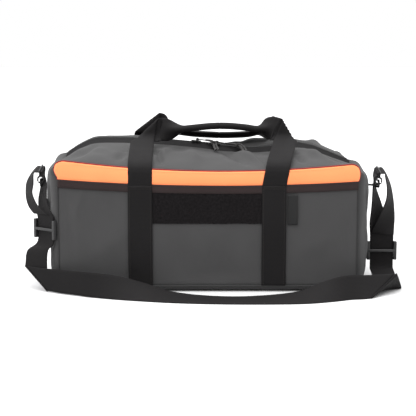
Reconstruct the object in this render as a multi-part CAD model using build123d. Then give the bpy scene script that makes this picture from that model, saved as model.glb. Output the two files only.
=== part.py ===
from build123d import *
import math
import os

# Zipped duffel bag with two carry handles and a detachable shoulder strap.
# Frame: origin on the floor under the middle of the bag, +X to the right seen from the
# front, the front faces -Y, +Z up. All sizes are millimetres.

# ---- driving dimensions -------------------------------------------------------------
HALF_LENGTH = 247.0        # end seams
HALF_DEPTH = 120.0         # front and back seams
CLOTH = 2.0                # thickness of a sewn panel
OVERLAY = 1.6              # thickness of a facing sewn onto a panel
WEBBING_WIDTH = 40.0
WEBBING = 1.8              # thickness of the webbing
BASE_WRAP = 8.0            # the base panel turns up this far at the walls
END_BULGE = 24.0           # how far the end panels stand out
PIPING_RADIUS = 1.8

SEAM_LOW = 201.0           # lowest height of the front and back top seams
SEAM_LOW_X = 25.0
SEAM_RADIUS = 2000.0

ZIP_LEFT_PEAK = (-170.0, 247.0)    # top of the long crown on the left
ZIP_LEFT_RADIUS = 1368.0
ZIP_DIP = (68.4, 230.0)            # lowest point of the dip on the right
ZIP_DIP_RADIUS = 348.0
ZIP_MEET_X = 4.0                   # the crown meets the dip here
ZIP_LEFT_END = [(-247.0, 220.6), (-230.0, 231.0), (-214.0, 239.5), (-202.0, 244.6)]
ZIP_RIGHT_END = [(158.0, 238.4), (183.0, 233.5), (207.0, 224.0), (247.0, 207.5)]
CROWN_START_X = -190.0
DIP_END_X = 146.0
TAPE_EDGE_Y = 15.0         # half width of the two zip tapes together
TOOTH_OUT_Y = 3.2
TOOTH_GAP_Y = 0.9          # half the gap between the two rows of teeth
TOOTH_HALF_HEIGHT = 1.6
TAPE_HALF = 0.5

STRIP_Z = 177.0            # lower edge of the bright strip at its lowest
STRIP_RADIUS = 3600.0
BINDING_HEIGHT = 13.0
LOOP_FIELD = (-91.0, 88.6, 114.7)  # left edge, right edge, lower edge
STRAP_CENTRES = (-111.6, 108.6)    # sewn webbing on the front, left and right
STITCH_Z = 177.0           # the handles are free above this line
LABEL = (131.0, 147.0, 113.0, 160.0)

LEFT_SLIDER_X = -21.0
RIGHT_SLIDER_X = 13.0


def seam_height(x):
    """Height of the front and back top seams."""
    return SEAM_LOW + SEAM_RADIUS - math.sqrt(SEAM_RADIUS**2 - (x - SEAM_LOW_X) ** 2)


def strip_edge(x):
    """Height of the lower edge of the bright strip."""
    return STRIP_Z + STRIP_RADIUS - math.sqrt(STRIP_RADIUS**2 - (x - SEAM_LOW_X) ** 2)


def crest(x):
    """Height of the zip along the top of the bag."""
    for run in (ZIP_LEFT_END + [(CROWN_START_X, crown(CROWN_START_X))],
                [(DIP_END_X, dip(DIP_END_X))] + ZIP_RIGHT_END):
        for (x0, z0), (x1, z1) in zip(run, run[1:]):
            if x0 <= x <= x1:
                return z0 + (z1 - z0) * (x - x0) / (x1 - x0)
    return crown(x) if x < ZIP_MEET_X else dip(x)


def crown(x):
    peak_x, peak_z = ZIP_LEFT_PEAK
    return peak_z - ZIP_LEFT_RADIUS + math.sqrt(ZIP_LEFT_RADIUS**2 - (x - peak_x) ** 2)


def dip(x):
    low_x, low_z = ZIP_DIP
    return low_z + ZIP_DIP_RADIUS - math.sqrt(ZIP_DIP_RADIUS**2 - (x - low_x) ** 2)


def save(node, *solids):
    """Write one named piece."""
    shape = solids[0] if len(solids) == 1 else Compound(children=list(solids))
    shape.label = node
    export_step(shape, f"parts/{node}.step")


def plate(points, start, depth):
    """A flat plate: an outline in X and Z, from Y = start over a depth towards +Y."""
    face = make_face(Polyline(*[(x, start, z) for x, z in points], close=True))
    return extrude(face, amount=depth, dir=(0, 1, 0)).solid()


def profile_bar(points, start, width):
    """A bar: an outline in Y and Z, from X = start over a width towards +X."""
    face = make_face(Polyline(*[(start, y, z) for y, z in points], close=True))
    return extrude(face, amount=width, dir=(1, 0, 0)).solid()


def thicken(points, thickness):
    """Outline of a bent strip: a line of points and the same line set off to its left."""
    offset = []
    for i, (u, v) in enumerate(points):
        du = points[min(i + 1, len(points) - 1)][0] - points[max(i - 1, 0)][0]
        dv = points[min(i + 1, len(points) - 1)][1] - points[max(i - 1, 0)][1]
        run = math.hypot(du, dv)
        offset.append((u - dv / run * thickness, v + du / run * thickness))
    return points + offset[::-1]


def steps(start, end, count):
    return [start + (end - start) * i / count for i in range(count + 1)]


# ---- body panels --------------------------------------------------------------------
def top_curve(height, count=18):
    """Points along a height law from the left seam to the right seam."""
    return [(x, height(x)) for x in steps(-HALF_LENGTH, HALF_LENGTH, count)]


def wall_panel(start):
    outline = [(HALF_LENGTH, BASE_WRAP), (-HALF_LENGTH, BASE_WRAP)] + top_curve(seam_height)
    return plate(outline, start, CLOTH)


def base_panel():
    tray = Box(2 * HALF_LENGTH, 2 * HALF_DEPTH, BASE_WRAP,
               align=(Align.CENTER, Align.CENTER, Align.MIN))
    tray = fillet(tray.edges().filter_by(Axis.Z), 12)
    hollow = Box(2 * (HALF_LENGTH - CLOTH), 2 * (HALF_DEPTH - CLOTH), BASE_WRAP,
                 align=(Align.CENTER, Align.CENTER, Align.MIN))
    return (tray - Pos(0, 0, CLOTH) * hollow).solid()


def end_section(x, inset, top):
    """Outline of an end panel at one place along the bag."""
    y = HALF_DEPTH - CLOTH - inset
    low = BASE_WRAP + 0.6 * inset
    high = top - 0.8 * inset
    points = [(x, -y, low + 8), (x, -y + 8, low), (x, y - 8, low), (x, y, low + 8),
              (x, y, high - 12), (x, y - 20, high), (x, -y + 20, high), (x, -y, high - 12)]
    return make_face(Polyline(*points, close=True))


def end_panel(side, top):
    """A pillowed end wall, open towards the inside of the bag."""
    stations = [(HALF_LENGTH, 0), (HALF_LENGTH + 0.6 * END_BULGE, 12),
                (HALF_LENGTH + 0.9 * END_BULGE, 34), (HALF_LENGTH + END_BULGE, 60)]
    outer = loft([end_section(side * x, inset, top) for x, inset in stations], ruled=True)
    inner_stations = [(HALF_LENGTH - 1, 2.0)] + [(x - 1.8, inset + 1.6) for x, inset in stations[1:]]
    inner = loft([end_section(side * x, inset, top) for x, inset in inner_stations], ruled=True)
    return (outer - inner).solid()


def top_panel(side):
    """Half of the top, from the wall's seam up to the zip tape."""
    stations = [-HALF_LENGTH, -230, -214, -202, -190, -150, -100, -50, 0, 40, 80, 115,
                146, 165, 183, 207, 228, HALF_LENGTH]
    sections = []
    for x in stations:
        seam, ridge = seam_height(x), crest(x) - TAPE_HALF
        y_in = side * TAPE_EDGE_Y
        y_mid = side * (HALF_DEPTH + TAPE_EDGE_Y) / 2
        y_out = side * HALF_DEPTH
        mid = (seam + ridge) / 2 + 3
        sections.append(make_face(Polyline(
            (x, y_out, seam), (x, y_mid, mid), (x, y_in, ridge),
            (x, y_in, ridge - CLOTH), (x, y_mid, mid - CLOTH), (x, y_out, seam - CLOTH),
            close=True)))
    return loft(sections, ruled=True).solid()


# ---- zip ----------------------------------------------------------------------------
def zip_bar(y_start, width, half_height):
    """A bar that follows the zip, with an exact arc where the sliders run."""
    def edge(shift):
        peak_x, peak_z = ZIP_LEFT_PEAK
        low_x, low_z = ZIP_DIP

        def on_crown(x):
            radius = ZIP_LEFT_RADIUS + shift
            return (x, y_start, peak_z - ZIP_LEFT_RADIUS + math.sqrt(radius**2 - (x - peak_x) ** 2))

        def on_dip(x):
            radius = ZIP_DIP_RADIUS - shift
            return (x, y_start, low_z + ZIP_DIP_RADIUS - math.sqrt(radius**2 - (x - low_x) ** 2))

        left = [(x, y_start, z + shift) for x, z in ZIP_LEFT_END] + [on_crown(CROWN_START_X)]
        right = [on_dip(DIP_END_X)] + [(x, y_start, z + shift) for x, z in ZIP_RIGHT_END]
        meet = ZIP_MEET_X
        return [Polyline(*left),
                ThreePointArc(on_crown(CROWN_START_X), on_crown(-80), on_crown(meet - 1)),
                Line(on_crown(meet - 1), on_dip(meet + 1)),
                ThreePointArc(on_dip(meet + 1), on_dip(80), on_dip(DIP_END_X)),
                Polyline(*right)]
    upper, lower = edge(half_height), edge(-half_height)
    ends = [Line(upper[0] @ 0, lower[0] @ 0), Line(upper[-1] @ 1, lower[-1] @ 1)]
    face = make_face([edge for line in upper + lower + ends for edge in line.edges()])
    return extrude(face, amount=width, dir=(0, 1, 0)).solid()


def on_zip(x):
    """The place and slope of a point of the zip."""
    if x < ZIP_MEET_X:
        slope = math.asin((ZIP_LEFT_PEAK[0] - x) / ZIP_LEFT_RADIUS)
        height = crown(x)
    else:
        slope = math.asin((x - ZIP_DIP[0]) / ZIP_DIP_RADIUS)
        height = dip(x)
    return Location((x, 0, height), (0, -math.degrees(slope), 0))


SLIDER_LENGTH = 17.0
SLIDER_WIDTH = 11.0
PLATE = 1.6
PLATE_GAP = 2.0            # from the middle of the teeth to a slider plate
PIVOT = (2.0, 5.6)         # the pull tab's pin, along and above the zip
TAB_LENGTH = 12.0


def zip_slider():
    def wing(z):
        blank = Box(SLIDER_LENGTH, SLIDER_WIDTH, PLATE, align=(Align.CENTER, Align.CENTER, Align.MIN))
        return Pos(0, 0, z) * fillet(blank.edges().filter_by(Axis.Z), 3)
    post = Box(4, 1.0, 2 * PLATE_GAP + 0.4)
    lug = Box(5.0, 2.0, 4.6, align=(Align.CENTER, Align.CENTER, Align.MIN))
    lug = fillet(lug.edges().filter_by(Axis.Y).group_by(Axis.Z)[-1], 1.8)
    lug = Pos(PIVOT[0], 0, PLATE_GAP + PLATE - 0.2) * lug
    hole = Pos(PIVOT[0], 0, PIVOT[1]) * Rot(90, 0, 0) * Cylinder(0.92, 6)
    return (wing(PLATE_GAP) + wing(-PLATE_GAP - PLATE) + post + lug - hole).solid()


def pull_tab():
    """A flat stirrup on a pin through the slider's lug, with an eye for the cord."""
    arm = Box(TAB_LENGTH, 1.2, 1.6, align=(Align.MIN, Align.CENTER, Align.CENTER))
    arms = [Pos(-1.0, y, 0) * arm for y in (-1.9, 1.9)]
    nose = Box(3.0, 5.0, 1.6, align=(Align.MIN, Align.CENTER, Align.CENTER))
    pin = Rot(90, 0, 0) * Cylinder(0.85, 5.0)
    tab = arms[0] + arms[1] + Pos(TAB_LENGTH - 1.2, 0, 0) * nose + pin
    return (Pos(PIVOT[0], 0, PIVOT[1]) * tab).solid()


def tube(points, radius, bend):
    """A round cord along straight runs and tangent arcs."""
    path = FilletPolyline(*points, radius=bend)
    section = Plane(origin=path @ 0, z_dir=path % 0) * Circle(radius)
    return sweep(section, path).solid()


def arc_radii(points):
    """The largest arc that each corner of a cord allows."""
    radii = []
    for a, b, c in zip(points, points[1:], points[2:]):
        before, after = Vector(*b) - Vector(*a), Vector(*c) - Vector(*b)
        turn = math.radians(before.get_angle(after))
        radii.append(0.45 * min(before.length, after.length) / math.tan(turn / 2))
    return radii


CORD_RADIUS = 1.2
KNOT_RADIUS = 3.4
LEFT_CORDS = {
    "a": [(-4.2, 1.6, 242.9), (2.4, 0.6, 242.8), (9.0, -6.0, 241.4), (13.6, -16.0, 237.6),
          (15.0, -29.5, 233.4), (18.0, -43.0, 229.6)],
    "b": [(-4.2, -1.6, 242.9), (1.4, -3.6, 242.6), (6.4, -9.4, 241.0), (9.8, -18.4, 237.2),
          (10.6, -31.5, 233.0), (13.0, -45.0, 229.2)],
}
RIGHT_CORDS = {
    "a": [(30.0, 1.6, 237.3), (40.0, 1.2, 236.3), (50.0, -3.4, 235.6), (58.6, -12.4, 234.8),
          (63.6, -25.5, 231.0), (66.0, -39.5, 227.6)],
    "b": [(30.0, -1.6, 237.3), (39.4, -2.8, 236.3), (48.0, -8.0, 235.6), (55.0, -16.8, 234.6),
          (59.0, -29.0, 230.6), (61.0, -42.5, 227.0)],
}


def make_pull(side, cords, slider_x):
    """Slider, tab, two cord strands and the knot that joins them."""
    place = on_zip(slider_x)
    save(f"{side}_slider", place * zip_slider())
    save(f"{side}_pull_tab", place * pull_tab())
    strands = []
    for strand, points in cords.items():
        radii = arc_radii(points)
        print(side, strand, "cord radii", [round(r, 1) for r in radii])
        strands.append(tube(points, CORD_RADIUS, radii))
        save(f"{side}_pull_cord_{strand}", strands[-1])
    a, b = (Vector(*points[2]) * 0.45 + Vector(*points[3]) * 0.55 for points in cords.values())
    centre = (a + b) / 2
    knot = Location(tuple(centre)) * Sphere(KNOT_RADIUS)
    save(f"{side}_pull_knot", (knot - strands[0] - strands[1]).solids().sort_by(SortBy.VOLUME)[-1])


# ---- front and back facings ---------------------------------------------------------
def facing(side, inner, thickness, points):
    """A facing on the outside of a wall; inner is its distance from the middle plane."""
    start = inner if side > 0 else -inner - thickness
    return plate(points, start, thickness)


def bright_strip():
    low = [(x, strip_edge(x)) for x in steps(HALF_LENGTH, -HALF_LENGTH, 16)]
    high = [(x, seam_height(x)) for x in steps(-HALF_LENGTH, HALF_LENGTH, 16)]
    return facing(-1, HALF_DEPTH + CLOTH, OVERLAY, low + high)


def strip_binding():
    low = [(x, strip_edge(x) - BINDING_HEIGHT) for x in steps(HALF_LENGTH, -HALF_LENGTH, 16)]
    high = [(x, strip_edge(x)) for x in steps(-HALF_LENGTH, HALF_LENGTH, 16)]
    return facing(-1, HALF_DEPTH + CLOTH, OVERLAY, low + high)


def loop_field():
    left, right, low = LOOP_FIELD
    high = [(x, strip_edge(x) - BINDING_HEIGHT - 0.3) for x in steps(left, right, 6)]
    return facing(-1, HALF_DEPTH + CLOTH, OVERLAY, [(right, low), (left, low)] + high)


def side_label():
    left, right, low, high = LABEL
    return facing(-1, HALF_DEPTH + CLOTH, 1.2, [(right, low), (left, low), (left, high), (right, high)])


SEWN_INNER = HALF_DEPTH + CLOTH + OVERLAY


def sewn_strap(side, centre):
    """Webbing sewn to a wall from the base seam up to the handle stitching."""
    left, right = centre - WEBBING_WIDTH / 2, centre + WEBBING_WIDTH / 2
    low = BASE_WRAP + 2 * PIPING_RADIUS
    corners = [(right, low), (left, low), (left, STITCH_Z), (right, STITCH_Z)]
    return facing(side, SEWN_INNER, WEBBING, corners)


def piping(side):
    y = side * (HALF_DEPTH + CLOTH + PIPING_RADIUS)
    rod = Cylinder(PIPING_RADIUS, 2 * HALF_LENGTH)
    return (Pos(0, y, BASE_WRAP + PIPING_RADIUS) * Rot(0, 90, 0) * rod).solid()


# ---- carry handles ------------------------------------------------------------------
HINGE_Y = SEWN_INNER + WEBBING + 0.5
HINGE_Z = STITCH_Z + 0.5
LEG_LINE = [(-124.2, 178.5), (-124.4, 207.0), (-120.5, 213.5), (-112.0, 217.5), (-90.0, 224.5),
            (-65.0, 233.5), (-46.0, 244.0), (-38.0, 250.0), (-36.9, 253.0), (-36.9, 258.0)]
FOLD_FACE_Y = 36.9         # outer face of the folded tips


def handle_leg(side, centre):
    """Loose webbing from the stitching over the edge of the top."""
    line = [(side * -y, z) for y, z in LEG_LINE]
    outline = thicken(line, -side * WEBBING)
    return profile_bar(outline, centre - WEBBING_WIDTH / 2, WEBBING_WIDTH)


def make_handle(name, side, left_tip, right_tip, horns, grip):
    """One carry handle: two legs, their folded tips and horns, and the grip."""
    for end, centre, tip, horn in (("left", STRAP_CENTRES[0], left_tip, horns[0]),
                                   ("right", STRAP_CENTRES[1], right_tip, horns[1])):
        leg = handle_leg(side, centre)
        flap = facing(side, FOLD_FACE_Y - WEBBING, WEBBING, tip)
        back = facing(side, FOLD_FACE_Y - 2 * WEBBING + 0.2, WEBBING, horn)
        save(f"{name}_handle_{end}_leg", (leg + flap + back).solid())
    top = [(x, z + 4.5) for x, z in grip]
    low = [(x, z - 4.5) for x, z in grip]
    bar = plate(low + top[::-1], side * 22 - 11, 22)
    save(f"{name}_handle_grip", bar)


FRONT_LEFT_TIP = [(-131.6, 251.0), (-91.6, 251.0), (-89.0, 279.0)]
FRONT_RIGHT_TIP = [(88.6, 251.0), (128.6, 251.0), (146.0, 252.0), (127.0, 279.0)]
FRONT_LEFT_HORN = [(-128.0, 252.0), (-92.0, 250.0), (-68.0, 252.0), (-45.0, 260.0), (-45.0, 267.0),
                   (-60.0, 275.0), (-80.0, 282.0), (-89.0, 281.0)]
FRONT_RIGHT_HORN = [(88.0, 259.0), (106.0, 250.0), (140.0, 252.0), (127.0, 281.0), (112.0, 279.0),
                    (88.0, 267.0)]
FRONT_GRIP = [(-45.0, 263.5), (-20.0, 269.0), (20.0, 272.5), (55.0, 269.5), (88.0, 263.0)]
BACK_LEFT_TIP = [(-131.6, 251.0), (-91.6, 251.0), (-88.0, 281.0), (-126.0, 259.0)]
BACK_RIGHT_TIP = [(88.6, 251.0), (128.6, 251.0), (138.0, 254.0), (118.0, 280.0)]
BACK_LEFT_HORN = [(-126.0, 258.0), (-92.0, 250.0), (-68.0, 249.0), (-50.0, 252.0), (-50.0, 260.0),
                  (-68.0, 270.0), (-84.0, 281.0), (-90.0, 283.0)]
BACK_RIGHT_HORN = [(86.0, 249.0), (106.0, 248.0), (128.0, 254.0), (118.0, 280.0), (104.0, 272.0),
                   (86.0, 257.0)]
BACK_GRIP = [(-50.0, 256.0), (-20.0, 252.0), (20.0, 249.5), (55.0, 250.5), (86.0, 253.0)]


# ---- strap hardware at the two ends -------------------------------------------------
RING_WIRE = 1.7            # radius
RING_HALF = 22.0
RING_HEIGHT = 14.0
RING_CENTRE_Y = -14.0
TAB_START_Y = -17.0        # front edge of the webbing tab that holds the ring
TAB_WIDTH = 20.0
TAB_FOOT_X = 271.4
JAW_INNER = 4.2
JAW_OUTER = 7.2
HOOK_THICK = 5.0
EYE_OPEN = 42.0
EYE_REACH = 20.0           # from the jaw's centre to the middle of the eye
JAW_ABOVE_BAR = 10.6       # the jaw's centre above the ring's bar


def ring_tab(side, x, z):
    """Short webbing loop from the end panel round the ring's bar."""
    foot = side * TAB_FOOT_X
    line = [(foot, z + 2.5), (side * (abs(x) - 8), z + 3.6), (x, z + 3.2),
            (x + side * 3.2, z + 1.2), (x + side * 3.2, z - 1.2), (x, z - 3.0),
            (side * (abs(x) - 8), z - 2.6), (foot, z - 1.5)]
    outline = thicken(line, 1.4 * side)
    face = make_face(Polyline(*[(px, TAB_START_Y, pz) for px, pz in outline], close=True))
    return extrude(face, amount=TAB_WIDTH, dir=(0, 1, 0)).solid()


def end_ring(x, z):
    """A low D-shaped ring that the stiff strap holds up on its bar."""
    width, corner = 2 * RING_HALF, 5.0
    outer = fillet(Rectangle(width, RING_HEIGHT).vertices(), corner)
    inner = fillet(Rectangle(width - 4 * RING_WIRE, RING_HEIGHT - 4 * RING_WIRE).vertices(), 3.0)
    ring = extrude(outer - inner, amount=RING_WIRE, both=True)
    ring = fillet(ring.edges(), 0.8)
    centre = (x, RING_CENTRE_Y, z + RING_HEIGHT / 2 - RING_WIRE)
    return (Plane(origin=centre, x_dir=(0, 1, 0), z_dir=(1, 0, 0)).location * ring).solid()


def hook_frame(x, z):
    """Local frame of a hook: origin at the jaw's centre, the eye above it on the local -Z side."""
    centre_y = RING_CENTRE_Y - RING_HALF + RING_WIRE + 5.4
    return Location((x, centre_y, z + JAW_ABOVE_BAR), (180, 0, 0))


def hook_jaw():
    """Jaw, shank and swivel pin; the jaw's plane is local X and Z."""
    disc = Rot(90, 0, 0) * Cylinder(JAW_OUTER, HOOK_THICK)
    bore = Rot(90, 0, 0) * Cylinder(JAW_INNER, HOOK_THICK + 2)
    mouth = Pos(-6.5, 0, 1.0) * Box(9, HOOK_THICK + 2, 6.2)
    shank = Pos(0, 0, -JAW_OUTER - 0.6) * Cylinder(3.6, 3.6)
    pin = Pos(0, 0, -JAW_OUTER - 4.0) * Cylinder(1.5, 5.4)
    return (disc + shank + pin - bore - mouth).solid()


def hook_gate():
    """The sprung bar that closes the jaw's mouth."""
    bar = Pos(-5.8, 0, 0.9) * Box(2.0, HOOK_THICK - 1.2, 5.2)
    return fillet(bar.edges().filter_by(Axis.Y), 0.6).solid()


def hook_eye():
    """Swivel eye with a wide opening for the strap."""
    frame = Box(5.0, EYE_OPEN + 7, 14.0)
    hole = Box(8.0, EYE_OPEN, 7.0)
    body = Pos(0, 0, -EYE_REACH) * (frame - hole)
    boss = Pos(0, 0, -JAW_OUTER - 4.6) * Cylinder(3.4, 3.6)
    bore = Pos(0, 0, -JAW_OUTER - 5) * Cylinder(1.55, 9)
    return (body + boss - bore).solid()


def adjuster():
    """Three-bar slide: two bars behind the strap and one in front of it."""
    half_w, half_h, rail = 25.6, 16.0, 2.2
    rails = [Pos(s * (half_w - rail), 0, 0) * Box(2 * rail, 7.0, 2 * half_h) for s in (-1, 1)]
    backs = [Pos(0, 2.5, s * (half_h - 2.0)) * Box(2 * half_w - 2, 2.0, 4.0) for s in (-1, 1)]
    front = Pos(0, -2.5, 0) * Box(2 * half_w - 2, 2.0, 4.6)
    return (rails[0] + rails[1] + backs[0] + backs[1] + front).solid()


# ---- shoulder strap -----------------------------------------------------------------
# A station is one place along the webbing: the edge that lies lower or nearer the front
# on the floor, and the other edge. The strap folds over itself at both floor corners.
LEFT_ADJUSTER = (-271.0, -108.0, 103.0)
LEFT_ADJUSTER_TURN = -41.0     # degrees about Z
RIGHT_ADJUSTER = (299.0, -50.0, 56.5)
LEFT_STRAIGHT = 21.0           # the strap is straight this far above and below an adjuster
RIGHT_STRAIGHT = 24.0
LEFT_FOLD = ((-266.6, -126.0, 1.2), (-307.0, -103.0, 40.0))
RIGHT_FOLD = ((263.0, -178.0, 1.2), (311.0, -135.0, 33.0))
FLOOR_RUN = [
    ((-256.0, -133.0, 1.0), (-280.0, -120.0, 39.5)), ((-244.6, -141.0, 1.0), (-250.0, -134.0, 40.0)),
    ((-215.0, -157.0, 1.0), (-216.0, -152.0, 40.5)), ((-192.0, -169.0, 1.0), (-189.0, -161.0, 40.0)),
    ((-150.0, -185.0, 1.0), (-148.0, -166.0, 36.0)), ((-109.0, -197.0, 1.0), (-106.0, -165.0, 25.0)),
    ((-60.0, -209.0, 1.0), (-58.0, -170.5, 11.5)), ((0.0, -217.0, 1.0), (1.0, -177.5, 6.0)),
    ((70.0, -220.0, 1.0), (70.0, -180.5, 6.0)), ((145.0, -217.0, 1.0), (143.0, -180.5, 13.5)),
    ((190.0, -205.0, 1.0), (186.0, -176.0, 28.5)), ((228.0, -188.0, 1.0), (221.0, -171.0, 37.0)),
    ((248.0, -183.0, 1.0), (262.0, -155.0, 35.0)),
]
LEFT_TURN = -0.755, 0.656, 0.0
# centre and direction across, from the sewn end behind the adjuster round the hook's eye
# and down to the floor; EYE marks the stations that are set from the eye
LEFT_RISE = [((-267.8, -104.3, 100.0), LEFT_TURN), ((-267.8, -104.3, 124.0), LEFT_TURN),
             ((-272.5, -93.5, 134.0), (-0.6, 0.8, 0.0)), ((-277.0, -76.0, 146.0), (-0.4, 0.9, -0.1)),
             ((-278.0, -58.0, 159.0), (-0.25, 0.95, 0.0)), ((-277.8, -42.0, 171.0), (-0.08, 1.0, 0.0)),
             ((-278.0, -33.0, 181.0), (0.0, 1.0, 0.0))]
LEFT_FALL = [((-304.5, -31.5, 185.0), (0.12, 0.99, 0.0)), ((-306.0, -36.0, 171.0), (0.2, 0.98, -0.1)),
             ((-306.0, -43.0, 157.0), (0.0, 1.0, -0.12)), ((-302.5, -55.0, 145.0), (-0.25, 0.95, -0.15)),
             ((-294.0, -73.0, 136.0), (-0.42, 0.9, -0.1)), ((-283.0, -92.0, 129.5), (-0.6, 0.8, 0.0))]
RIGHT_RISE = [((299.0, -45.1, 52.0), (1.0, 0.0, 0.0)), ((299.0, -45.1, 82.0), (1.0, 0.0, 0.0)),
              ((295.5, -45.4, 93.0), (0.95, 0.3, 0.0)), ((290.0, -46.0, 106.0), (0.8, 0.6, 0.0)),
              ((286.0, -43.0, 121.0), (0.6, 0.8, 0.0)), ((284.0, -40.0, 138.0), (0.3, 0.95, 0.0)),
              ((282.0, -39.0, 155.0), (0.12, 0.99, 0.0)), ((281.6, -38.5, 169.5), (0.0, 1.0, 0.0)),
              ((282.2, -33.0, 180.0), (0.0, 1.0, 0.0))]
RIGHT_FALL = [((308.5, -32.0, 184.0), (0.08, 0.99, 0.0)), ((311.0, -36.0, 168.0), (0.1, 0.99, 0.0)),
              ((312.5, -41.0, 152.0), (0.15, 0.98, 0.0)), ((312.0, -45.0, 136.0), (0.35, 0.93, 0.0)),
              ((309.0, -48.5, 120.0), (0.55, 0.84, 0.0)), ((304.0, -50.0, 104.0), (0.8, 0.6, 0.0)),
              ((300.5, -50.3, 91.0), (0.96, 0.28, 0.0))]
RIGHT_FOOT = [((279.0, -60.0, 24.0), (319.0, -58.0, 25.0)), ((285.0, -84.0, 7.0), (324.0, -78.0, 8.0)),
              ((290.0, -106.0, 1.6), (326.0, -98.0, 2.0)), ((276.0, -142.0, 1.4), (319.0, -116.0, 17.0))]


def across(centre, direction):
    """A station from its centre and the direction across the webbing."""
    c, w = Vector(*centre), Vector(*direction).normalized() * (WEBBING_WIDTH / 2)
    return c - w, c + w


def round_the_eye(place, side):
    """Stations where the strap passes through a hook's eye, from the bag's side outwards."""
    stations = []
    for out, up in ((-5.2, 6.2), (-3.6, 1.8), (3.0, 1.8), (9.5, 2.2)):
        near, far = (tuple((place * Pos(side * out, y, up - EYE_REACH)).position)
                     for y in (WEBBING_WIDTH / 2, -WEBBING_WIDTH / 2))
        stations.append((near, far))
    return stations


def ribbon(stations, thickness):
    """A thin solid between two edges, one section at each station."""
    sections = []
    for i, (low, high) in enumerate(stations):
        low, high = Vector(*low), Vector(*high)
        before, after = stations[max(i - 1, 0)], stations[min(i + 1, len(stations) - 1)]
        along = (Vector(*after[0]) + Vector(*after[1])) - (Vector(*before[0]) + Vector(*before[1]))
        normal = along.cross(high - low).normalized() * (thickness / 2)
        sections.append(make_face(Polyline(tuple(low - normal), tuple(high - normal),
                                           tuple(high + normal), tuple(low + normal), close=True)))
    return loft(sections, ruled=True).solid()


def strap_solid(left_eye, right_eye):
    """The whole strap in three runs that meet at the two floor folds."""
    top, bottom = (LEFT_ADJUSTER[2] + LEFT_STRAIGHT, LEFT_ADJUSTER[2] - LEFT_STRAIGHT)
    left = [across(*s) for s in LEFT_RISE] + round_the_eye(left_eye, -1)
    left += [across(*s) for s in LEFT_FALL]
    left += [across((*LEFT_ADJUSTER[:2], z), LEFT_TURN) for z in (top, bottom)]
    left += [((-266.5, -120.0, 64.0), (-303.0, -100.5, 66.0)), LEFT_FOLD]
    floor = [LEFT_FOLD] + FLOOR_RUN + [RIGHT_FOLD]
    top, bottom = (RIGHT_ADJUSTER[2] + RIGHT_STRAIGHT, RIGHT_ADJUSTER[2] - RIGHT_STRAIGHT)
    right = [across(*s) for s in RIGHT_RISE] + round_the_eye(right_eye, 1)
    right += [across(*s) for s in RIGHT_FALL]
    right += [across((*RIGHT_ADJUSTER[:2], z), (1, 0, 0)) for z in (top, bottom)]
    right += RIGHT_FOOT + [RIGHT_FOLD]
    runs = [ribbon(stations, WEBBING) for stations in (left, floor, right)]
    for run in runs:
        print("strap run volume", round(run.volume), "valid", run.is_valid)
    return runs


if __name__ == "__main__":
    os.makedirs("parts", exist_ok=True)
    save("base_panel", base_panel())
    save("front_panel", wall_panel(-HALF_DEPTH - CLOTH))
    save("back_panel", wall_panel(HALF_DEPTH))
    save("left_end_panel", end_panel(-1, 216.0))
    save("right_end_panel", end_panel(1, 207.0))
    save("top_front_panel", top_panel(-1))
    save("top_back_panel", top_panel(1))
    save("zip_tape_front", zip_bar(-TAPE_EDGE_Y, TAPE_EDGE_Y - TOOTH_OUT_Y, TAPE_HALF))
    save("zip_tape_back", zip_bar(TOOTH_OUT_Y, TAPE_EDGE_Y - TOOTH_OUT_Y, TAPE_HALF))
    save("zip_teeth_front", zip_bar(-TOOTH_OUT_Y, TOOTH_OUT_Y - TOOTH_GAP_Y, TOOTH_HALF_HEIGHT))
    save("zip_teeth_back", zip_bar(TOOTH_GAP_Y, TOOTH_OUT_Y - TOOTH_GAP_Y, TOOTH_HALF_HEIGHT))
    make_pull("left", LEFT_CORDS, LEFT_SLIDER_X)
    make_pull("right", RIGHT_CORDS, RIGHT_SLIDER_X)
    save("hi_vis_strip", bright_strip())
    save("strip_binding", strip_binding())
    save("loop_field", loop_field())
    save("side_label", side_label())
    for wall, side in (("front", -1), ("back", 1)):
        save(f"{wall}_piping", piping(side))
        for end, centre in zip(("left", "right"), STRAP_CENTRES):
            save(f"{wall}_{end}_strap", sewn_strap(side, centre))
    make_handle("front", -1, FRONT_LEFT_TIP, FRONT_RIGHT_TIP,
                (FRONT_LEFT_HORN, FRONT_RIGHT_HORN), FRONT_GRIP)
    make_handle("back", 1, BACK_LEFT_TIP, BACK_RIGHT_TIP,
                (BACK_LEFT_HORN, BACK_RIGHT_HORN), BACK_GRIP)
    places = []
    for end, side, x, z in (("left", -1, -288.0, 166.7), ("right", 1, 294.0, 164.4)):
        save(f"{end}_ring_tab", ring_tab(side, x, z))
        save(f"{end}_d_ring", end_ring(x, z))
        place = hook_frame(x, z)
        turn = Rot(0, 0, 0) if side < 0 else Rot(0, 0, 180)
        save(f"{end}_swivel_hook", place * turn * hook_jaw())
        save(f"{end}_gate", place * turn * hook_gate())
        save(f"{end}_hook_eye", place * turn * hook_eye())
        places.append(place)
    for end, where, turn in (("left", LEFT_ADJUSTER, LEFT_ADJUSTER_TURN), ("right", RIGHT_ADJUSTER, 0.0)):
        save(f"{end}_adjuster", Location(where, (0, 0, turn)) * adjuster())
    save("shoulder_strap", *strap_solid(*places))
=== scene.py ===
import math

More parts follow.
